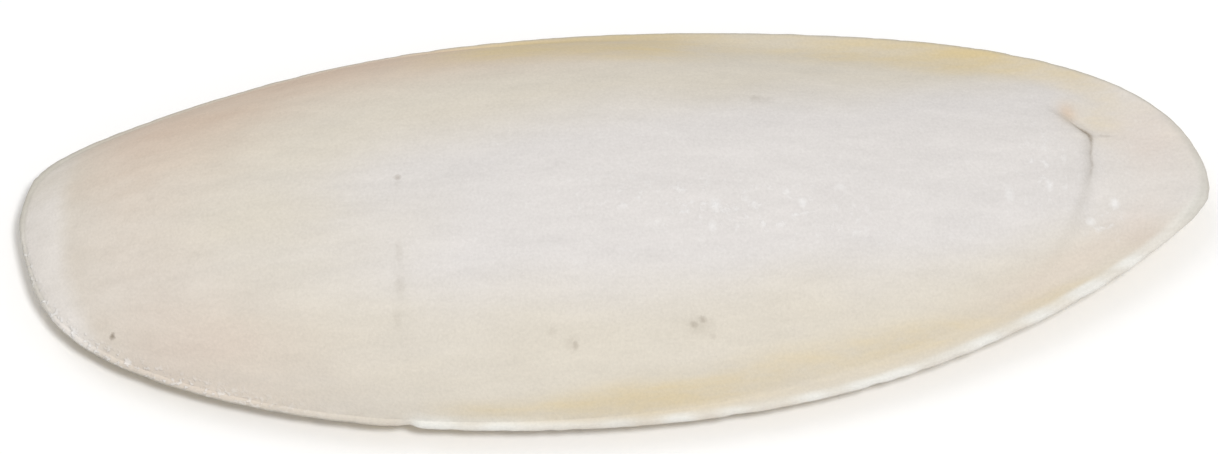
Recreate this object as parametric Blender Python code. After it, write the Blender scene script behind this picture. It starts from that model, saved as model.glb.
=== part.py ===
"""A cuttlebone, the chalky inner shell of a cuttlefish, lying with its belly side up.

It is one grown piece. The belly side is a long low dome of chalk, thickest in front of
the middle. The back shield is the underside, a shallow arch with a faint middle rib,
worn to a small flat where the bone rests. The shield stands out beside the dome as a
thin flange, which is a mere lip at the front and widens towards the tail. Near the tail
the chalk stops at a low curved ledge.

Units are metres. +X runs from the blunt front to the tail, +Z is up, and the origin is
at the centre of the footprint, on the surface that the bone lies on.
"""

import bmesh
import bpy
import numpy as np

# The outline, seen from above. It is an ellipse whose half width varies along the bone.
# Its middle line bends a little to one side and then to the other, and both ends are skewed.
HALF_LENGTH = 0.0800
MID_SPREAD = 0.0303
TAPER = 0.0013
END_TAPER = 0.0025
CORNER_SPREAD = 0.0099
CORNER_AT = -0.975
CORNER_REACH = 0.100
FRONT_ROUND = 0.020
BOW = -0.0026
SWAY = 0.0061
END_SKEW = 0.0024
SKEW_REACH = 0.035

# The rim, above the resting surface.
RIM_HEIGHT = 0.0048
FRONT_LIFT = 0.0004
TAIL_LIFT = 0.0025
EDGE_THICKNESS = 0.0010

# The dome of the belly side and the flange beside it.
CROWN_HEIGHT = 0.0126
CROWN_TAPER = 0.0046
CROWN_BEND = 0.0014
DOME_POWER = 2.4
FRONT_ROUNDING = 0.60
TAIL_ROUNDING = 1.00
FOOT_SOFTNESS = 0.05
NEAR_BLEND = 0.004
FAR_BLEND = 0.20
LIP_WIDTH = 0.0007
FLANGE_WIDTH = 0.0038
FLANGE_DIP = 0.12
SWELL = 0.00020

# The ledge where the chalk stops.
LEDGE_X = 0.0645
LEDGE_Y = 0.0020
LEDGE_RADIUS = 0.0174
LEDGE_STEP = 0.0008
LEDGE_BLEND = 0.0016

# The back shield underneath. The flat is an ellipse, as a share of the outline.
FLAT_SHARE = 0.30
SHIELD_POWER = 1.70
RIB_HEIGHT = 0.0004
RIB_WIDTH = 0.16

# Grid lines run along the edge of the flat, across the ledge and along the dome's foot.
GRID_STOPS = (0.0, FLAT_SHARE, 0.72, 0.90, 1.0)
CELLS_ALONG = (10, 15, 10, 2)
CELLS_ACROSS = (4, 5, 4, 2)
FOOT_LINE = 0.90


def clear_scene():
    for thing in list(bpy.data.objects):
        bpy.data.objects.remove(thing)


def smooth_ramp(value, start, end):
    """0 before start, 1 after end, with a soft turn at both."""
    t = np.clip((value - start) / (end - start), 0.0, 1.0)
    return t * t * (3.0 - 2.0 * t)


def spread(p):
    """Half width of the ellipse that the outline follows at station p, from -1 to 1."""
    behind = np.exp(-np.maximum(p - CORNER_AT, 0.0) / CORNER_REACH)
    ahead = np.exp(-((np.minimum(p - CORNER_AT, 0.0) / FRONT_ROUND) ** 2))
    middle = MID_SPREAD - TAPER * p - END_TAPER * p**4
    return middle + CORNER_SPREAD * behind * ahead


def middle_line(p):
    """How far the outline's middle lies to the far side at station p."""
    skew = np.exp(-(1.0 + p) / SKEW_REACH) - np.exp(-(1.0 - p) / SKEW_REACH)
    return (BOW + SWAY * p**3) * (1.0 - p * p) + END_SKEW * skew


def plan(p, q):
    """Place in the footprint of a point of the unit disc."""
    x = HALF_LENGTH * p
    y = q * spread(p) + middle_line(p)
    return x, y


def rim_height(p):
    """Height of the rim's middle plane, which turns up at both ends."""
    return RIM_HEIGHT + FRONT_LIFT * np.maximum(-p, 0) ** 3 + TAIL_LIFT * np.maximum(p, 0) ** 2.5


def crown_height(p):
    """Height of the dome's crest above the rim, greatest in front of the middle."""
    return CROWN_HEIGHT - CROWN_TAPER * p - CROWN_BEND * p * p


def flange_width(p):
    """Width of the flange, from a lip at the front to its full width at the tail."""
    return LIP_WIDTH + (FLANGE_WIDTH - LIP_WIDTH) * smooth_ramp(p, -0.50, 1.00)


def foot_radius(p, q):
    """Radius in the unit disc at which the dome meets the flange, towards (p, q)."""
    r = np.maximum(np.hypot(p, q), 1e-9)
    rim_p, rim_q = p / r, q / r
    per_metre = np.hypot(rim_p / HALF_LENGTH, rim_q / spread(rim_p))
    return 1.0 - flange_width(rim_p) * per_metre


def foot_blend(p, y, r):
    """How softly the dome runs out: a crease on the near side, soft elsewhere."""
    soft_side = np.maximum(smooth_ramp(y, -0.010, 0.008), smooth_ramp(p, 0.80, 0.95))
    return NEAR_BLEND + FAR_BLEND * soft_side * smooth_ramp(p, -0.30, 0.40) * smooth_ramp(r, 0.30, 0.85)


def dome_profile(p, out, blend):
    """Height of the dome, 1 at its crest and 0 at its foot, steeper to the foot in front."""
    rounding = FRONT_ROUNDING + (TAIL_ROUNDING - FRONT_ROUNDING) * smooth_ramp(p, -0.40, 0.60)
    fall = 1.0 - out**DOME_POWER
    fall = (fall + np.hypot(fall, blend)) / 2.0
    crest = (1.0 + FOOT_SOFTNESS) ** rounding
    foot = FOOT_SOFTNESS**rounding
    return ((fall + FOOT_SOFTNESS) ** rounding - foot) / (crest - foot)


def swell(x, y):
    """Slow waves, a fifth of a millimetre high, as the chalk grew unevenly."""
    return SWELL * (
        np.sin(95.0 * x + 60.0 * y + 0.7)
        + 0.8 * np.sin(210.0 * y - 70.0 * x + 2.1)
        + 0.6 * np.sin(175.0 * x - 120.0 * y + 4.0)
    )


def past_ledge(x, y):
    """Distance along the bone past the ledge, a curve that bulges towards the tail."""
    return x - LEDGE_X + (y - LEDGE_Y) ** 2 / (2.0 * LEDGE_RADIUS)


def belly_height(p, q):
    """The upper side: dome, ledge and flange, whose inner edge lies a little lower."""
    x, y = plan(p, q)
    r = np.hypot(p, q)
    foot = foot_radius(p, q)
    across_flange = np.clip((r - foot) / np.maximum(1.0 - foot, 1e-9), 0.0, 1.0)
    dome = dome_profile(p, r / foot, foot_blend(p, y, r)) * (1.0 - across_flange**2)
    flange = rim_height(p) + EDGE_THICKNESS / 2 - FLANGE_DIP * flange_width(p) * (1.0 - across_flange)
    step = LEDGE_STEP * smooth_ramp(past_ledge(x, y), -LEDGE_BLEND, LEDGE_BLEND)
    inside = smooth_ramp(dome, 0.0, 0.25)
    return flange + crown_height(p) * dome + (swell(x, y) - step) * inside


def shield_height(p, q):
    """The underside: flat where it rests, then rising to the rim, with its middle rib."""
    r = np.hypot(p, q)
    rise = np.clip((r - FLAT_SHARE) / (1.0 - FLAT_SHARE), 0.0, 1.0)
    arch = (rim_height(p) - EDGE_THICKNESS / 2) * rise**SHIELD_POWER
    rib = RIB_HEIGHT * np.exp(-((q / RIB_WIDTH) ** 2)) * smooth_ramp(rise, 0.15, 0.45)
    return arch - rib * (1.0 - smooth_ramp(rise, 0.80, 1.0))


def grid_lines(cells):
    """Grid lines from -1 to 1, with one on every stop at both sides of the middle."""
    spans = zip(GRID_STOPS[:-1], GRID_STOPS[1:], cells)
    half = np.concatenate([np.linspace(start, end, n, endpoint=False) for start, end, n in spans])
    half = np.append(half, 1.0)
    return np.concatenate([-half[:0:-1], half])


def add_sheet(mesh, height, facing_up):
    """One side of the bone: a square grid, bent to rings and laid on the outline."""
    along = grid_lines(CELLS_ALONG)
    across = grid_lines(CELLS_ACROSS)
    made = bmesh.ops.create_grid(
        mesh, x_segments=len(along) - 1, y_segments=len(across) - 1, size=1.0
    )
    verts = made["verts"]
    even = np.array([vert.co for vert in verts])
    u = np.interp(even[:, 0], np.linspace(-1.0, 1.0, len(along)), along)
    v = np.interp(even[:, 1], np.linspace(-1.0, 1.0, len(across)), across)
    ring = np.maximum(np.abs(u), np.abs(v))
    size = np.maximum(ring, 1e-9)
    towards_p = (u / size) * np.sqrt(1.0 - (v / size) ** 2 / 2.0)
    towards_q = (v / size) * np.sqrt(1.0 - (u / size) ** 2 / 2.0)
    p = ring * towards_p
    q = ring * towards_q
    if facing_up:
        foot = foot_radius(p, q)
        within = ring * foot / FOOT_LINE
        beyond = 1.0 - (1.0 - foot) * (1.0 - ring) / (1.0 - FOOT_LINE)
        radius = np.where(ring <= FOOT_LINE, within, beyond)
        p = radius * towards_p
        q = radius * towards_q
    x, y = plan(p, q)
    for vert, place in zip(verts, np.stack([x, y, height(p, q)], axis=1)):
        vert.co = place
    faces = list({face for vert in verts for face in vert.link_faces})
    if not facing_up:
        bmesh.ops.reverse_faces(mesh, faces=faces)
    return [edge for edge in {e for f in faces for e in f.edges} if edge.is_boundary]


def centre_footprint(mesh):
    """Puts the origin under the middle of the footprint."""
    corners = np.array([vert.co for vert in mesh.verts])
    middle = (corners.min(axis=0) + corners.max(axis=0)) / 2.0
    bmesh.ops.translate(mesh, verts=mesh.verts, vec=(-middle[0], -middle[1], 0.0))


def chalk_material():
    material = bpy.data.materials.new("chalk")
    material.use_nodes = True
    shader = material.node_tree.nodes["Principled BSDF"]
    shader.inputs["Base Color"].default_value = (0.76, 0.72, 0.65, 1.0)
    shader.inputs["Roughness"].default_value = 0.75
    shader.inputs["Metallic"].default_value = 0.0
    return material


def build_cuttlebone():
    mesh = bmesh.new()
    belly_edge = add_sheet(mesh, belly_height, facing_up=True)
    shield_edge = add_sheet(mesh, shield_height, facing_up=False)
    bmesh.ops.bridge_loops(mesh, edges=belly_edge + shield_edge)
    bmesh.ops.recalc_face_normals(mesh, faces=mesh.faces)
    centre_footprint(mesh)
    data = bpy.data.meshes.new("cuttlebone")
    mesh.to_mesh(data)
    mesh.free()
    data.shade_smooth()
    data.materials.append(chalk_material())
    bone = bpy.data.objects.new("cuttlebone", data)
    bpy.context.scene.collection.objects.link(bone)


clear_scene()
build_cuttlebone()
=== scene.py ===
import bpy
import numpy as np
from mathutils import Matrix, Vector


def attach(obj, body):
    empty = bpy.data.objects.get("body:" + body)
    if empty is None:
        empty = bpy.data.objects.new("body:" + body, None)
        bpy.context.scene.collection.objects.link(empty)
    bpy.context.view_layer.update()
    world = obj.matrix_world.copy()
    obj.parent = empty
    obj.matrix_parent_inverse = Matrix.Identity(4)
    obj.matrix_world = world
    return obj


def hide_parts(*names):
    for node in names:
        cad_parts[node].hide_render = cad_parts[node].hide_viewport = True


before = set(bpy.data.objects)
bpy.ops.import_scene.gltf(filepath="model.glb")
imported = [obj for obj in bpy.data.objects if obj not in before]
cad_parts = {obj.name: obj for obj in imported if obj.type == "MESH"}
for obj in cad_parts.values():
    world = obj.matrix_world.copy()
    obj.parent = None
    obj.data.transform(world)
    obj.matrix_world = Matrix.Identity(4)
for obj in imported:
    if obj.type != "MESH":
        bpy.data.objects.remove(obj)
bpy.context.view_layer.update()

# The outline. A cuttlefish grows its bone as a long oval shield, blunt in front and narrower
# at the tail. This one leans a little to one side in front and to the other at the tail.
# Lengths are in metres, p runs along the bone from -1 to 1, and q across it.
half_length = 0.0800
middle_half_width = 0.0303
straight_taper = 0.0013
end_taper = 0.0025
corner_half_width = 0.0099
corner_at = -0.975
corner_reach = 0.100
front_rounding = 0.020
bow = -0.0026
sway = 0.0061
end_skew = 0.0024
skew_reach = 0.035
rim_middle = 0.0048
front_lift = 0.0004
tail_lift = 0.0025


def half_width(p):
    """A straight taper less a fourth power, with an exponential corner added in front."""
    behind = np.exp(-np.maximum(p - corner_at, 0.0) / corner_reach)
    ahead = np.exp(-((np.minimum(p - corner_at, 0.0) / front_rounding) ** 2))
    middle = middle_half_width - straight_taper * p - end_taper * p**4
    return middle + corner_half_width * behind * ahead


def plan(p, q):
    """An ellipse stretched by the half width, on a quintic middle line with both ends skewed."""
    x = half_length * p
    skew = np.exp(-(1.0 + p) / skew_reach) - np.exp(-(1.0 - p) / skew_reach)
    y = q * half_width(p) + (bow + sway * p**3) * (1.0 - p * p) + end_skew * skew
    return x, y


def rim_height(p):
    """Level in the middle, lifted by a cube towards the front and a 2.5 power to the tail."""
    return rim_middle + front_lift * np.maximum(-p, 0) ** 3 + tail_lift * np.maximum(p, 0) ** 2.5


# The belly side is chalk, laid down in thin layers as a long low dome. Beside it the shield
# stands out as a thin flange, a mere lip in front. The dome's foot is a crease on the near
# side, and runs out softly on the far side and round the tail.
edge_thickness = 0.0010
lip_width = 0.0007
flange_width_gain = 0.0031
full_flange_width = 0.0038
flange_dip = 0.12
dome_power = 2.4
front_root = 0.60
root_gain = 0.40
foot_softness = 0.05
near_blend = 0.004
far_blend = 0.20
crown_height = 0.0126
crown_taper = 0.0046
crown_bend = 0.0014
swell_height = 0.00020
ledge_at = 0.06465
ledge_middle = 0.0045
ledge_bulge = 0.0470
ledge_step = 0.0008
ledge_blend = 0.0016
bend_from = 0.0054
bend_run = 0.0040
bend_slope = 0.9
crack_depth = 0.00022
crack_reach = 0.00030
front_line_at = -0.0288


def smooth_ramp(value, start, end):
    """0 before start and 1 after end, joined by the cubic 3t^2 - 2t^3."""
    t = np.clip((value - start) / (end - start), 0.0, 1.0)
    return t * t * (3.0 - 2.0 * t)


def bell(value, middle, reach):
    """A bell curve of height 1: e to the minus squared distance over squared reach."""
    return np.exp(-(((value - middle) / reach) ** 2))


def waves(x, y, length, count, seed):
    """Sum of plane sine waves of about one length in scattered directions, within -1 to 1."""
    random = np.random.default_rng(seed)
    total = np.zeros_like(x)
    for _ in range(count):
        turn = random.uniform(0.0, np.pi)
        pace = 2.0 * np.pi / (length * random.uniform(0.7, 1.4))
        start = random.uniform(0.0, 2.0 * np.pi)
        total += np.sin(pace * (x * np.cos(turn) + y * np.sin(turn)) + start)
    return total / np.sqrt(2.0 * count) / 1.6


def flange_width(p):
    """From a 0.7 mm lip in front to 3.8 mm at the tail, along a cubic ramp."""
    return lip_width + flange_width_gain * smooth_ramp(p, -0.50, 1.00)


def per_metre(p, q):
    """Length in the unit disc of one metre on the bone, towards a point of its rim: the
    hypotenuse of p over the half length and q over the half width."""
    return np.hypot(p / half_length, q / half_width(p))


def dome_profile(p, out, blend):
    """1 less out to the power 2.4, its foot rounded by a hyperbola, raised to a power that
    grows from 0.6 in front to 1 at the tail."""
    rounding = front_root + root_gain * smooth_ramp(p, -0.40, 0.60)
    fall = 1.0 - out**dome_power
    fall = (fall + np.hypot(fall, blend)) / 2.0
    crest = (1.0 + foot_softness) ** rounding
    foot = foot_softness**rounding
    return ((fall + foot_softness) ** rounding - foot) / (crest - foot)


def swell(x, y):
    """The sum of three long sine waves, the highest a fifth of a millimetre high."""
    return swell_height * (
        np.sin(95.0 * x + 60.0 * y + 0.7)
        + 0.8 * np.sin(210.0 * y - 70.0 * x + 2.1)
        + 0.6 * np.sin(175.0 * x - 120.0 * y + 4.0)
    )


def past_ledge(x, y):
    """Distance along the bone past the ledge's parabola, whose far end bends to the front,
    with a sine ripple of a tenth of a millimetre."""
    bend = bend_slope * np.clip(y - bend_from, 0.0, bend_run)
    ripple = 0.00010 * np.sin(1500.0 * y + 1.0)
    return x - ledge_at + (y - ledge_middle) ** 2 / ledge_bulge + bend - ripple


def past_front_line(x, y):
    """Distance along the bone past the edge of the youngest layer, a shallow parabola with
    low waves on it."""
    return x - front_line_at + (y + 0.006) ** 2 / 0.9 - 0.0006 * waves(x, y, 0.0090, 8, 4)


def belly_height(p, q, r, foot):
    """The rim less the flange's dip, plus the dome, less the ledge's step and groove inside
    the foot, plus the finer waves."""
    x, y = plan(p, q)
    across_flange = np.clip((r - foot) / (1.0 - foot), 0.0, 1.0)
    soft_side = np.maximum(smooth_ramp(y, -0.010, 0.008), smooth_ramp(p, 0.80, 0.95))
    soft_part = soft_side * smooth_ramp(p, -0.30, 0.40) * smooth_ramp(r, 0.30, 0.85)
    blend = far_blend * soft_part + near_blend
    dome = dome_profile(p, r / foot, blend) * (1.0 - across_flange**2)
    crown = crown_height - crown_taper * p - crown_bend * p * p
    dip = flange_dip * flange_width(p) * (1.0 - across_flange)
    inside = smooth_ramp(dome, 0.0, 0.25)
    beyond = past_ledge(x, y)
    fading = 1.0 - 0.7 * smooth_ramp(y, 0.0068, 0.0110)
    step = ledge_step * smooth_ramp(beyond, -ledge_blend, ledge_blend) * fading
    open_part = smooth_ramp(y, -0.0030, 0.0015) * (1.0 - smooth_ramp(y, 0.0062, 0.0082))
    groove = crack_depth * bell(beyond, 0.0, crack_reach) * open_part
    groove += 0.00006 * bell(beyond, 0.0, 0.0009)
    front = 0.00004 * smooth_ramp(-past_front_line(x, y), -0.0020, 0.0020)
    rough = 0.00007 * waves(x, y, 0.0060, 14, 5) + 0.00003 * waves(x, y, 0.0022, 18, 6)
    flange_share = flange_width(p) / full_flange_width
    ruffle = 0.00010 * waves(x, y, 0.0075, 12, 7) * across_flange * flange_share
    fine = swell(x, y) - step - groove + front + rough
    return rim_height(p) + edge_thickness / 2 - dip + crown * dome + fine * inside + ruffle


# The back shield is the underside: a shallow arch, worn flat where the bone rests, with a
# faint middle rib and growth arcs, and fine limy grains over all of it.
flat_share = 0.30
arch_power = 1.7
rib_height = 0.0004
rib_half_width = 0.16
arc_spacing = 0.0050
arc_half_width = 0.030
arc_bulge = 0.016


def arc_turns(x, y):
    """Turns, in radians, of the growth arc through a point: parabolas that bulge to the front.
    One arc follows another by 5 mm, more or less, and low waves make their spacing uneven."""
    along_arcs = x + (y / arc_half_width) ** 2 * arc_bulge
    uneven = 2.6 * waves(x, y, 0.034, 8, 11) + 0.9 * waves(x, y, 0.011, 10, 13)
    return along_arcs / arc_spacing * 2.0 * np.pi + uneven


def shield_height(p, q, r):
    """A 1.7 power from the flat to the rim, less the rib, plus the sine of the growth arcs
    and low waves."""
    x, y = plan(p, q)
    rise = np.clip((r - flat_share) / (1.0 - flat_share), 0.0, 1.0)
    arch = (rim_height(p) - edge_thickness / 2) * rise**arch_power
    rib = rib_height * bell(q, 0.0, rib_half_width) * smooth_ramp(rise, 0.15, 0.45)
    rings = 0.00010 * np.sin(arc_turns(x, y))
    grains = 0.00005 * waves(x, y, 0.0030, 16, 12)
    worn = smooth_ramp(rise, 0.05, 0.40) * (1.0 - smooth_ramp(rise, 0.85, 1.0))
    return arch - rib * (1.0 - smooth_ramp(rise, 0.80, 1.0)) + (rings + grains) * worn


# The bone is one closed skin: a grid over the belly side, one over the back, and a rounded
# edge between them. Its rim is worn, with small chips and one notch on the near side. Lines
# of the grid lie closest at the ledge and at the rim.
foot_line = 0.90
inset = 0.00038
trimmed = 0.0030
notch_x = -0.0296
notch_y = -0.0312


def grid_lines(stops, cells):
    """Lines from -1 to 1, evenly spaced between stops that mirror about the middle."""
    spans = zip(stops[:-1], stops[1:], cells)
    half = np.concatenate([np.linspace(start, end, n, endpoint=False) for start, end, n in spans])
    half = np.append(half, 1.0)
    return np.concatenate([-half[:0:-1], half])


along = grid_lines((0.0, 0.70, 0.78, 0.84, 0.90, 1.0), (96, 22, 38, 14, 20))
across = grid_lines((0.0, 0.70, 0.90, 1.0), (34, 14, 10))
u, v = np.meshgrid(along, across, indexing="ij")
ring = np.maximum(np.abs(u), np.abs(v))
size = np.maximum(ring, 1e-9)
rim_p = (u / size) * np.sqrt(1.0 - (v / size) ** 2 / 2.0)
rim_q = (v / size) * np.sqrt(1.0 - (u / size) ** 2 / 2.0)
scale = np.maximum(per_metre(rim_p, rim_q), 1e-6)
rim_x, rim_y = plan(rim_p, rim_q)
near_rim = smooth_ramp(-rim_y, 0.002, 0.010) * smooth_ramp(rim_x, -0.030, -0.010)
chips = 0.00002 + 0.00009 * waves(rim_x, rim_y, 0.0050, 12, 21)
chips += 0.00006 * waves(rim_x, rim_y, 0.0016, 14, 22)
chips += 0.00022 * near_rim * np.maximum(waves(rim_x, rim_y, 0.0042, 10, 23), 0.0)
chips = np.maximum(chips, 0.0)
chips += 0.00045 * bell(np.hypot(rim_x - notch_x, rim_y - notch_y), 0.0, 0.0013)
outer = 1.0 - chips * scale
border = outer - inset * scale
foot = 1.0 - flange_width(rim_p) * scale
brink = 1.0 - inset * scale
within = ring * foot / foot_line
beyond_foot = brink - (brink - foot) * (1.0 - ring) / (1.0 - foot_line)
even_r = np.where(ring <= foot_line, within, beyond_foot)
belly_r = even_r - chips * scale * smooth_ramp(even_r, 1.0 - trimmed * scale, brink)
belly_p = belly_r * rim_p
belly_q = belly_r * rim_q
belly_x, belly_y = plan(belly_p, belly_q)
belly_z = belly_height(belly_p, belly_q, belly_r, foot)
back_r = border * ring
back_p = back_r * rim_p
back_q = back_r * rim_q
back_x, back_y = plan(back_p, back_q)
back_z = np.maximum(shield_height(back_p, back_q, back_r), 0.0)

rows, columns = u.shape
index = np.arange(rows * columns).reshape(rows, columns)
loop = np.concatenate([index[:-1, 0], index[-1, :-1], index[:0:-1, -1], index[0, :0:-1]])
edge_turns = np.radians([60.0, 30.0, 0.0, -30.0, -60.0])
edge_r = outer.ravel()[loop] - inset * scale.ravel()[loop] * (1.0 - np.cos(edge_turns))[:, None]
edge_p = edge_r * rim_p.ravel()[loop]
edge_q = edge_r * rim_q.ravel()[loop]
edge_x, edge_y = plan(edge_p, edge_q)
belly_edge_z = belly_z.ravel()[loop]
back_edge_z = back_z.ravel()[loop]
edge_mix = (1.0 + np.sin(edge_turns)[:, None]) / 2.0
edge_z = back_edge_z + (belly_edge_z - back_edge_z) * edge_mix


def quads(grid):
    """The four corners of each cell of a grid of point numbers, in turning order."""
    corners = [grid[:-1, :-1], grid[1:, :-1], grid[1:, 1:], grid[:-1, 1:]]
    return np.stack(corners, axis=-1).reshape(-1, 4)


sheet_points = rows * columns
edge_index = 2 * sheet_points + np.arange(edge_z.size).reshape(edge_z.shape)
edge_index = np.vstack([loop, edge_index, sheet_points + loop])
edge_index = np.hstack([edge_index, edge_index[:, :1]])
faces = np.vstack([quads(index), quads(index + sheet_points)[:, ::-1], quads(edge_index)])
points = np.stack(
    [
        np.concatenate([belly_x.ravel(), back_x.ravel(), edge_x.ravel()]),
        np.concatenate([belly_y.ravel(), back_y.ravel(), edge_y.ravel()]),
        np.concatenate([belly_z.ravel(), back_z.ravel(), edge_z.ravel()]),
    ],
    axis=1,
)
outline_y = plan(rim_p.ravel()[loop], rim_q.ravel()[loop])[1]
middle_y = (outline_y.min() + outline_y.max()) / 2.0
skin = bpy.data.meshes.new("bone")
skin.from_pydata((points - (0.0, middle_y, 0.0)).tolist(), [], faces.tolist())
skin.shade_smooth()
bone = bpy.data.objects.new("bone", skin)
bpy.context.scene.collection.objects.link(bone)
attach(bone, "root")
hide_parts("cuttlebone")


# Where the bone's colours lie: each mask runs from 0 to 1 over the skin. The middle is white
# chalk. The front third and both flanks are creamier, and horny amber runs along the margins.
def over_skin(belly, back=0.0, edge=None):
    """One number per point, kept in 0 to 1: the belly grid, the back grid, then the rows of
    the edge, which repeat the belly's rim unless their own are given."""
    belly = np.broadcast_to(belly, belly_x.shape).ravel()
    back = np.broadcast_to(back, back_x.shape).ravel()
    rim = belly[loop] if edge is None else edge
    rows_of_edge = np.broadcast_to(rim, edge_x.shape).ravel()
    return np.clip(np.concatenate([belly, back, rows_of_edge]), 0.0, 1.0)


x, y, p, r = belly_x, belly_y, belly_p, belly_r
from_rim = (1.0 - r) / scale
far_side = smooth_ramp(y, -0.005, 0.003)
near_side = 1.0 - far_side
drift = waves(x * 0.5, y, 0.0120, 14, 41)
layer = past_front_line(x, y)
beyond = past_ledge(x, y)

# White chalk lies between a slanting far border and a near one that curves in to the tail.
# It fades out over the front third, but for a patch just in front of the front line.
white_top = 0.0078 + 0.13 * x + 0.0016 * drift
white_bottom = -0.0180 + 0.0077 * (np.maximum(x, 0.0) / 0.060) ** 2 + 0.0016 * drift
white = smooth_ramp(white_top - y, -0.0060, 0.0050) * smooth_ramp(y - white_bottom, -0.0060, 0.0050)
white *= 0.14 + 0.86 * smooth_ramp(x + 0.004 * drift, -0.050, -0.018)
white = np.maximum(white, 0.60 * bell(np.hypot((x + 0.0350) * 0.6, y + 0.0065), 0.0, 0.0036))
cream = np.maximum(1.0 - white, 0.26 * smooth_ramp(beyond, -0.0010, 0.0030))

# Peach tints the far flank in front and a stain by the crack. A faint pink lies on the near
# flank, mostly in front, and in patches at the tail.
peach_part = (1.0 - smooth_ramp(x, -0.020, 0.020)) * smooth_ramp(x, -0.079, -0.060)
peach = far_side * smooth_ramp(r, 0.55, 0.98) * peach_part
peach += 0.8 * bell(np.hypot(x - 0.0621, (y - 0.0091) * 0.7), 0.0, 0.0012)
pink = 0.48 * near_side * bell(x, -0.056, 0.018) * smooth_ramp(r, 0.62, 0.90)
pink += 0.35 * bell(np.hypot(x - 0.0708, y + 0.0098), 0.0, 0.0036)
pink += 0.50 * bell(np.hypot(x - 0.0725, y - 0.0050), 0.0, 0.0050)
pink += 0.30 * near_side * bell(x, 0.060, 0.012) * bell(from_rim, 0.0050, 0.0030)

# Horn shows through along both margins. Its strength, place and width change along the bone
# in straight lines between the stations listed.
near_stations = (-0.028, -0.020, -0.012, -0.008, 0.001, 0.007, 0.012, 0.016, 0.034, 0.050, 0.058, 0.067)
near_strengths = (0.0, 0.36, 0.38, 0.62, 0.74, 0.68, 0.52, 0.38, 0.38, 0.42, 0.32, 0.0)
near_strength = np.interp(x, near_stations, near_strengths)
middle_stations = (-0.020, -0.009, 0.001, 0.010, 0.020, 0.030, 0.045, 0.056, 0.064)
near_middles = (0.0017, 0.0022, 0.0028, 0.0031, 0.0043, 0.0045, 0.0038, 0.0024, 0.0014)
near_middle = np.interp(x, middle_stations, near_middles)
near_widths = (0.0007, 0.0012, 0.0016, 0.0016, 0.0022, 0.0021, 0.0018, 0.0014, 0.0009)
near_width = np.interp(x, middle_stations, near_widths)
far_stations = (-0.030, -0.019, -0.011, 0.005, 0.013, 0.021, 0.029, 0.037, 0.045, 0.053, 0.061, 0.070)
far_strengths = (0.0, 0.50, 0.88, 0.80, 0.50, 0.28, 0.42, 0.55, 0.72, 0.85, 0.85, 0.1)
far_strength = np.interp(x, far_stations, far_strengths)
far_reach = 0.0079 - 0.0018 * smooth_ramp(x, 0.008, 0.024) - 0.0028 * smooth_ramp(x, 0.040, 0.064)
amber = near_side * near_strength * bell(from_rim, near_middle, near_width)
amber += far_side * far_strength * smooth_ramp(far_reach - from_rim, -0.0024, 0.0026)
amber *= 0.95 + 0.35 * waves(x * 0.5, y, 0.0100, 12, 31)
amber += 0.30 * bell(np.hypot((x - 0.0660) * 0.8, y - 0.0080), 0.0, 0.0032)

# The near flange is bare and pale behind the notch. In front of it the rim carries light crumbs,
# partly a painted highlight along its edge. The far rim, the front and the tail have a thin dark
# edge, partly painted shade, and painted shade darkens the near lip beneath.
flange_reach = 0.0010 + 0.0005 * smooth_ramp(x, 0.030, 0.060)
flange = near_side * smooth_ramp(flange_reach - from_rim, -0.0005, 0.0005)
flange *= smooth_ramp(x, -0.0310, -0.0270)
flange *= 0.72 + 1.0 * waves(rim_x, rim_y, 0.0060, 12, 33)
near_brink = smooth_ramp(0.0012 - from_rim, -0.0006, 0.0006)
# Light crumbs along the near rim in front, partly a painted highlight where the edge catches light.
rim_crumbs_and_glint = near_side * smooth_ramp(-x, 0.0300, 0.0640) * near_brink
edge_reach = 0.00045 + 0.00035 * smooth_ramp(-x, 0.0200, 0.0600)
very_edge = smooth_ramp(edge_reach - from_rim, -0.00035, 0.00035)
dark_edge_and_shade = very_edge * np.maximum(far_side, 0.8 * smooth_ramp(-x, 0.0740, 0.0775))
dark_edge_and_shade = np.maximum(dark_edge_and_shade, 0.6 * smooth_ramp(x, 0.0735, 0.0775) * near_brink)
# Painted shade: the lower rows of the near lip's edge are darkened where the floor's shadow lies under
# it.
painted_shade_under_lip = smooth_ramp(-edge_x, 0.0300, 0.0420) * smooth_ramp(-edge_y, 0.0060, 0.0140)
lower_rows = np.arange(len(edge_turns))[:, None] > 1
edge_dark_and_shade = np.maximum(smooth_ramp(edge_y, 0.0, 0.0080), 0.8 * smooth_ramp(-edge_x, 0.0740, 0.0775))
edge_dark_and_shade = np.maximum(edge_dark_and_shade, 1.4 * painted_shade_under_lip * lower_rows)
edge_dark_and_shade = np.maximum(edge_dark_and_shade, dark_edge_and_shade.ravel()[loop])

# The front end is worn white. Flakes have come loose in a band behind the middle, about the
# ledge, and here and there over all the white, as lighter flecks that are partly painted glints.
wear = 1.0 - smooth_ramp(x - 13.0 * y * y + 0.0008 * drift, -0.0757, -0.0722)
wear *= 1.0 - 0.6 * smooth_ramp(y, 0.0020, 0.0080)
wear += 0.15 * (1.0 - smooth_ramp(x, -0.0680, -0.0480)) * (1.0 - wear)
flaky_and_glints = bell(x, 0.0150, 0.0170) * bell(y, -0.0071 - (x - 0.015) * 0.10, 0.0034)
flaky_and_glints += bell(x, 0.0655, 0.0030) * bell(y, -0.0078, 0.0022)
flaky_and_glints += 0.8 * bell(x, 0.0575, 0.0040) * bell(y, -0.0010, 0.0050)
flaky_and_glints += 0.15 * white
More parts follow.
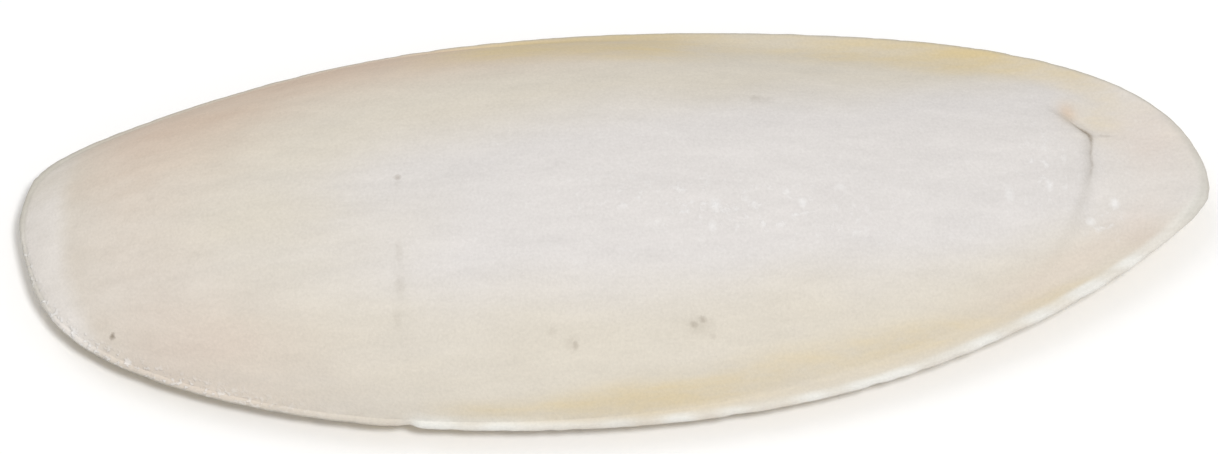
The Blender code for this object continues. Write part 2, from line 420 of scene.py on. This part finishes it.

# Fine growth lines cross the chalk between the front line and the ledge. The ledge is
# cracked open on its far half, the crack darkened by painted shade, and a soft painted shade follows it
# and the front line.
striae = smooth_ramp(layer, 0.0, 0.004) * (1.0 - smooth_ramp(beyond, -0.004, 0.0))
striae *= 1.0 - smooth_ramp(r, 0.70, 0.92)
# The crack mask is painted shade: the dark line where the lip shades the groove in front of it.
open_part = smooth_ramp(y, -0.0040, 0.0010) * (1.0 - smooth_ramp(y, 0.0062, 0.0082))
crack = bell(beyond, 0.0, 0.00015 + 0.00034 * bell(y, 0.0058, 0.0010)) * open_part
crack *= 0.42 + 0.45 * bell(y, 0.0058, 0.0013)
shaded_part = smooth_ramp(y, -0.0120, -0.0030) * (1.0 - smooth_ramp(y, 0.0080, 0.0110))
shade_line = 0.22 * bell(beyond, -0.0003, 0.0009) * shaded_part
shade_line += 0.10 * bell(layer, 0.0, 0.0009) * bell(y, -0.0165, 0.0060)
shade_line += 0.08 * bell(beyond, -0.0026, 0.0024) * bell(y, -0.0005, 0.0080)

# Underneath, the margin is amber, the growth arcs are darker and the rib is paler.
back_rim = smooth_ramp(back_r, 0.80, 0.97) * (0.8 + 0.5 * waves(back_x, back_y, 0.0120, 12, 32))
back_lines = (0.5 - 0.5 * np.sin(arc_turns(back_x, back_y))) ** 2
back_lines *= smooth_ramp(back_r, 0.20, 0.55)
back_rib = bell(back_q, 0.0, 0.13) * smooth_ramp(back_r, 0.20, 0.50)
back_rib *= 1.0 - smooth_ramp(back_r, 0.85, 1.0)
masks = {
    "cream": over_skin(cream),
    "peach": over_skin(peach),
    "pink": over_skin(pink),
    "amber": over_skin(amber, back_rim * 0.8),
    "flange": over_skin(flange),
    "rim_crumbs_and_glint": over_skin(rim_crumbs_and_glint),
    "dark_edge_and_shade": over_skin(dark_edge_and_shade, 0.0, edge_dark_and_shade),
    "wear": over_skin(wear),
    "flaky_and_glints": over_skin(flaky_and_glints),
    "striae": over_skin(striae),
    "crack": over_skin(crack),
    "shade_line": over_skin(shade_line),
    "back": over_skin(0.0, 1.0, 0.35),
    "back_lines": over_skin(0.0, back_lines, 0.0),
    "back_rib": over_skin(0.0, back_rib, 0.0),
}
for name, values in masks.items():
    skin.attributes.new(name, "FLOAT", "POINT").data.foreach_set("value", values.astype(np.float32))


# Dried chalk is matte and off-white, with fine pores and a faint grain along the bone. Horn
# is amber and a little glossier. Noise at several sizes breaks up the edge of every mask.
def add_node(material, kind, settings=None, **inputs):
    """A node of one kind, its settings made and its inputs set or linked. An input is given
    by its name, or by its number with an i in front."""
    tree = material.node_tree
    node = tree.nodes.new(kind)
    for name, value in (settings or {}).items():
        setattr(node, name, value)
    for name, value in inputs.items():
        numbered = name[1:].isdigit()
        socket = node.inputs[int(name[1:]) if numbered else name.replace("_", " ")]
        if isinstance(value, bpy.types.NodeSocket):
            tree.links.new(value, socket)
        else:
            socket.default_value = value
    return node


def mask(material, name):
    """The value of one of the skin's masks."""
    return add_node(material, "ShaderNodeAttribute", {"attribute_name": name}).outputs["Fac"]


def maths(material, operation, first, second=0.0, clamp=False):
    """One sum, difference, product or greater value of two, or the sine of the first."""
    settings = {"operation": operation, "use_clamp": clamp}
    return add_node(material, "ShaderNodeMath", settings, i0=first, i1=second).outputs[0]


def noise(material, place, scale, detail=3.0, roughness=0.5):
    """Noise from 0 to 1 at a number of lumps per metre."""
    node = add_node(
        material, "ShaderNodeTexNoise", Vector=place, Scale=scale, Detail=detail, Roughness=roughness
    )
    return node.outputs["Fac"]


def broken(material, value, grain, amount):
    """A mask whose edge wanders: the mask plus the noise about its middle, which counts most
    where the mask is over a half, kept in 0 to 1."""
    around = maths(material, "MULTIPLY", maths(material, "SUBTRACT", grain, 0.5), amount)
    weight = maths(material, "MULTIPLY", around, maths(material, "MULTIPLY", value, 2.0, True))
    return maths(material, "ADD", value, weight, True)


def spot(material, place, middle, long, wide, grain):
    """1 at a point, 0 outside an ellipse about it, whose edge wanders with the grain."""
    shrink = (1.0 / long, 1.0 / wide, 0.0)
    shift = (-middle[0] / long, -middle[1] / wide, 0.0)
    shrunk = add_node(material, "ShaderNodeMapping", Vector=place, Scale=shrink, Location=shift)
    length = {"operation": "LENGTH"}
    away = add_node(material, "ShaderNodeVectorMath", length, i0=shrunk.outputs[0]).outputs["Value"]
    away = maths(material, "ADD", away, maths(material, "MULTIPLY", grain, 0.9))
    inside = add_node(material, "ShaderNodeMapRange", Value=away, From_Min=1.5, From_Max=0.7)
    return inside.outputs[0]


def spots(material, place, grain, first, listed):
    """The greatest of a mask and of every spot listed, on the belly side alone."""
    total = first
    for spot_x, spot_y, long, wide, strength in listed:
        one = spot(material, place, (spot_x, spot_y - middle_y), long, wide, grain)
        total = maths(material, "MAXIMUM", total, maths(material, "MULTIPLY", one, strength))
    belly_side = maths(material, "SUBTRACT", 1.0, mask(material, "back"))
    return maths(material, "MULTIPLY", total, belly_side)


def laid_over(material, factor, below, above):
    """The colour above laid over the colour below: their mean, weighted by a factor."""
    settings = {"data_type": "RGBA", "blend_type": "MIX"}
    return add_node(material, "ShaderNodeMix", settings, i0=factor, i6=below, i7=above).outputs[2]


chalk = bpy.data.materials.new("chalk")
chalk.use_nodes = True
surface = chalk.node_tree.nodes["Principled BSDF"]
place = add_node(chalk, "ShaderNodeTexCoord").outputs["Object"]
lengthwise = add_node(chalk, "ShaderNodeMapping", Vector=place, Scale=(0.22, 1.0, 1.0)).outputs[0]
blotches = noise(chalk, lengthwise, 90.0, 4.0, 0.55)
mottle = noise(chalk, lengthwise, 420.0, 4.0, 0.6)
speckle = noise(chalk, place, 2600.0, 2.0, 0.5)
chalk_white = (0.718, 0.682, 0.655, 1.0)
chalk_cool = (0.690, 0.662, 0.642, 1.0)
cream_colour = (0.688, 0.635, 0.546, 1.0)
peach_colour = (0.680, 0.542, 0.430, 1.0)
pink_colour = (0.680, 0.570, 0.490, 1.0)
amber_colour = (0.665, 0.540, 0.312, 1.0)
flange_colour = (0.800, 0.785, 0.735, 1.0)
worn_colour = (0.765, 0.718, 0.668, 1.0)
crack_shade_and_pit_colour = (0.300, 0.250, 0.195, 1.0)
shade_colour = (0.430, 0.400, 0.340, 1.0)
edge_and_shade_colour = (0.470, 0.450, 0.390, 1.0)
shield_colour = (0.660, 0.585, 0.500, 1.0)
line_colour = (0.560, 0.450, 0.350, 1.0)
rib_colour = (0.720, 0.665, 0.600, 1.0)
fleck_and_glint_colour = (0.860, 0.850, 0.840, 1.0)
colour = laid_over(chalk, blotches, chalk_white, chalk_cool)
colour = laid_over(chalk, broken(chalk, mask(chalk, "cream"), blotches, 1.0), colour, cream_colour)
colour = laid_over(chalk, broken(chalk, mask(chalk, "peach"), blotches, 1.2), colour, peach_colour)
colour = laid_over(chalk, broken(chalk, mask(chalk, "pink"), blotches, 1.0), colour, pink_colour)
colour = laid_over(chalk, mask(chalk, "back"), colour, shield_colour)
lines_seen = maths(chalk, "MULTIPLY", broken(chalk, mask(chalk, "back_lines"), mottle, 2.0), 0.32)
colour = laid_over(chalk, lines_seen, colour, line_colour)
colour = laid_over(chalk, maths(chalk, "MULTIPLY", mask(chalk, "back_rib"), 0.55), colour, rib_colour)
colour = laid_over(chalk, broken(chalk, mask(chalk, "wear"), mottle, 0.8), colour, worn_colour)
colour = laid_over(chalk, broken(chalk, mask(chalk, "amber"), mottle, 1.4), colour, amber_colour)
colour = laid_over(chalk, broken(chalk, mask(chalk, "flange"), mottle, 0.6), colour, flange_colour)
# Painted shade along the rim: the far rim's edge, the front, the tail and the underside of the near
# lip.
colour = laid_over(chalk, maths(chalk, "MULTIPLY", mask(chalk, "dark_edge_and_shade"), 0.7), colour, edge_and_shade_colour)
# Painted highlight with crumbs: pale dots along the near rim in front.
crumb_noise = noise(chalk, place, 1500.0, 2.0, 0.5)
crumb_grain = maths(chalk, "MULTIPLY", maths(chalk, "SUBTRACT", crumb_noise, 0.53), 9.0, True)
crumbs_and_glint_seen = maths(chalk, "MULTIPLY", crumb_grain, mask(chalk, "rim_crumbs_and_glint"), True)
colour = laid_over(chalk, maths(chalk, "MULTIPLY", crumbs_and_glint_seen, 0.5), colour, fleck_and_glint_colour)
# Painted glints as well as flakes: lighter flecks where rough chalk catches light.
fleck_noise = noise(chalk, place, 800.0, 3.0, 0.6)
flecks_and_glints = maths(chalk, "MULTIPLY", maths(chalk, "SUBTRACT", fleck_noise, 0.55), 6.0, True)
flecks_and_glints = maths(chalk, "MULTIPLY", flecks_and_glints, mask(chalk, "flaky_and_glints"), True)
colour = laid_over(chalk, maths(chalk, "MULTIPLY", flecks_and_glints, 0.55), colour, fleck_and_glint_colour)
colour = laid_over(chalk, mask(chalk, "shade_line"), colour, shade_colour)

# Loose flakes of chalk, lighter and partly painted glints, then the small old wounds, pores
# and smudges in it: place, half length, half width and strength.
flakes = [
    (0.0128, -0.0071, 0.00090, 0.00120, 0.50),
    (0.0122, -0.0101, 0.00070, 0.00090, 0.40),
    (0.0170, -0.0062, 0.00060, 0.00070, 0.25),
    (0.0245, -0.0066, 0.00070, 0.00090, 0.50),
    (0.0225, -0.0051, 0.00060, 0.00060, 0.35),
    (0.0297, -0.0041, 0.00090, 0.00060, 0.28),
    (0.0525, -0.0046, 0.00080, 0.00120, 0.35),
    (0.0581, -0.0030, 0.00060, 0.00110, 0.50),
    (0.0669, -0.0050, 0.00080, 0.00100, 0.60),
    (0.0634, -0.0076, 0.00090, 0.00070, 0.50),
]
pits = [
    (-0.0288, -0.0009, 0.00060, 0.00050, 0.40),
    (-0.0289, -0.0022, 0.00050, 0.00130, 0.07),
    (-0.0675, -0.0166, 0.00046, 0.00046, 0.85),
    (0.0090, -0.0226, 0.00095, 0.00060, 0.40),
    (0.0101, -0.0220, 0.00070, 0.00055, 0.45),
    (0.0097, -0.0226, 0.00210, 0.00130, 0.15),
    (0.0113, -0.0238, 0.00070, 0.00050, 0.16),
    (-0.0068, -0.0245, 0.00055, 0.00075, 0.38),
    (-0.0072, -0.0243, 0.00120, 0.00130, 0.13),
    (-0.0098, -0.0229, 0.00090, 0.00060, 0.13),
    (0.0197, 0.0107, 0.00110, 0.00080, 0.20),
    (0.0204, 0.0104, 0.00210, 0.00120, 0.10),
    (-0.0291, -0.0120, 0.00060, 0.00190, 0.12),
    (-0.0292, -0.0165, 0.00080, 0.00180, 0.12),
    (-0.0298, -0.0206, 0.00070, 0.00150, 0.10),
    (-0.0617, 0.0001, 0.00060, 0.00060, 0.10),
    (0.0668, 0.0055, 0.00120, 0.00030, 0.22),
    (0.0640, 0.0058, 0.00060, 0.00070, 0.45),
]
spot_grain = noise(chalk, place, 1900.0, 2.0, 0.5)
loose_flakes_and_glints = spots(chalk, place, spot_grain, 0.0, flakes)
colour = laid_over(chalk, loose_flakes_and_glints, colour, fleck_and_glint_colour)
# Painted shade in the crack, laid on together with the dark pits in one dark brown.
crack_shade = broken(chalk, mask(chalk, "crack"), speckle, 0.8)
crack_shade_and_pits = spots(chalk, place, spot_grain, crack_shade, pits)
colour = laid_over(chalk, crack_shade_and_pits, colour, crack_shade_and_pit_colour)
both = maths(chalk, "ADD", mottle, speckle)
shade = add_node(
    chalk, "ShaderNodeMapRange", Value=both, From_Min=0.6, From_Max=1.4, To_Min=0.92, To_Max=1.06
).outputs[0]
multiply = {"data_type": "RGBA", "blend_type": "MULTIPLY"}
colour = add_node(chalk, "ShaderNodeMix", multiply, i0=1.0, i6=colour, i7=shade).outputs[2]
chalk.node_tree.links.new(colour, surface.inputs["Base Color"])

roughness = add_node(chalk, "ShaderNodeMapRange", Value=mask(chalk, "amber"), To_Min=0.86, To_Max=0.60)
chalk.node_tree.links.new(roughness.outputs[0], surface.inputs["Roughness"])

along_bone = add_node(chalk, "ShaderNodeSeparateXYZ", Vector=place).outputs[0]
arcs = maths(chalk, "MULTIPLY", along_bone, 5200.0)
arcs = maths(chalk, "ADD", arcs, maths(chalk, "MULTIPLY", blotches, 22.0))
stripes = maths(chalk, "MULTIPLY", maths(chalk, "SINE", arcs), mask(chalk, "striae"))
drawn_out = add_node(chalk, "ShaderNodeMapping", Vector=place, Scale=(0.15, 1.0, 1.0)).outputs[0]
fibres = noise(chalk, drawn_out, 1700.0, 3.0, 0.6)
pores = add_node(chalk, "ShaderNodeTexVoronoi", Vector=place, Scale=900.0).outputs["Distance"]
pores = maths(chalk, "SUBTRACT", 0.22, pores, True)
grains = add_node(chalk, "ShaderNodeTexVoronoi", {"feature": "SMOOTH_F1"}, Vector=place, Scale=1300.0)
grains = maths(chalk, "MULTIPLY", grains.outputs["Distance"], mask(chalk, "back"))
height = 0.0
for relief, share in (
    (stripes, 0.10),
    (fibres, 0.45),
    (pores, -1.2),
    (flecks_and_glints, 0.9),
    (loose_flakes_and_glints, 0.9),
    (crumbs_and_glint_seen, 2.0),
    (speckle, 0.5),
    (grains, -1.8),
    (crack_shade_and_pits, -1.5),
):
    height = maths(chalk, "ADD", height, maths(chalk, "MULTIPLY", relief, share))
bump = add_node(chalk, "ShaderNodeBump", Strength=0.6, Distance=0.00012, Height=height)
chalk.node_tree.links.new(bump.outputs[0], surface.inputs["Normal"])
surface.inputs["Specular IOR Level"].default_value = 0.30
skin.materials.append(chalk)

# The bone lies on a plain pale table top, which runs far past the camera's view.
floor_skin = bpy.data.meshes.new("table_top")
floor_skin.from_pydata([(-3, -3, 0), (3, -3, 0), (3, 3, 0), (-3, 3, 0)], [], [(0, 1, 2, 3)])
table_top = bpy.data.objects.new("table_top", floor_skin)
bpy.context.scene.collection.objects.link(table_top)
pale = bpy.data.materials.new("pale_table")
pale.use_nodes = True
pale.node_tree.nodes["Principled BSDF"].inputs["Base Color"].default_value = (0.98, 0.98, 0.98, 1.0)
pale.node_tree.nodes["Principled BSDF"].inputs["Roughness"].default_value = 0.9
pale.node_tree.nodes["Principled BSDF"].inputs["Specular IOR Level"].default_value = 0.0
floor_skin.materials.append(pale)


# Soft studio light: a panel high above the near side and to the right, a weaker and larger
# one above the far side and the front, and an even pale surround.
def add_panel(name, place, side, power):
    """A square area light, turned so that it faces the origin, under the bone."""
    light = bpy.data.lights.new(name, "AREA")
    light.size = side
    light.energy = power
    panel = bpy.data.objects.new(name, light)
    panel.location = place
    panel.rotation_euler = (-Vector(place)).to_track_quat("-Z", "Y").to_euler()
    bpy.context.scene.collection.objects.link(panel)


add_panel("key_panel", (0.23, -0.46, 1.16), 0.22, 8.55)
add_panel("fill_panel", (-0.42, 0.40, 1.20), 0.80, 3.0)
surround = bpy.data.worlds.new("surround")
surround.use_nodes = True
surround.node_tree.nodes["Background"].inputs["Color"].default_value = (1.0, 1.0, 1.0, 1.0)
surround.node_tree.nodes["Background"].inputs["Strength"].default_value = 0.44
bpy.context.scene.world = surround
bpy.context.scene.view_settings.view_transform = "Standard"

# The camera looks down at the near side at 60 degrees, from 0.62 m, through a long lens.
lens = bpy.data.cameras.new("camera")
lens.sensor_width = 36.0
lens.lens = 136.64
lens.clip_start = 0.01
camera = bpy.data.objects.new("camera", lens)
looked_at = Vector((-0.00098, -0.00076, 0.00603))
azimuth = np.radians(3.74)
elevation = np.radians(60.0)
camera_distance = 0.620
level = np.cos(elevation)
away = Vector((-level * np.sin(azimuth), -level * np.cos(azimuth), np.sin(elevation)))
camera.location = looked_at + camera_distance * away
camera.rotation_euler = (-away).to_track_quat("-Z", "Y").to_euler()
bpy.context.scene.collection.objects.link(camera)
bpy.context.scene.camera = camera
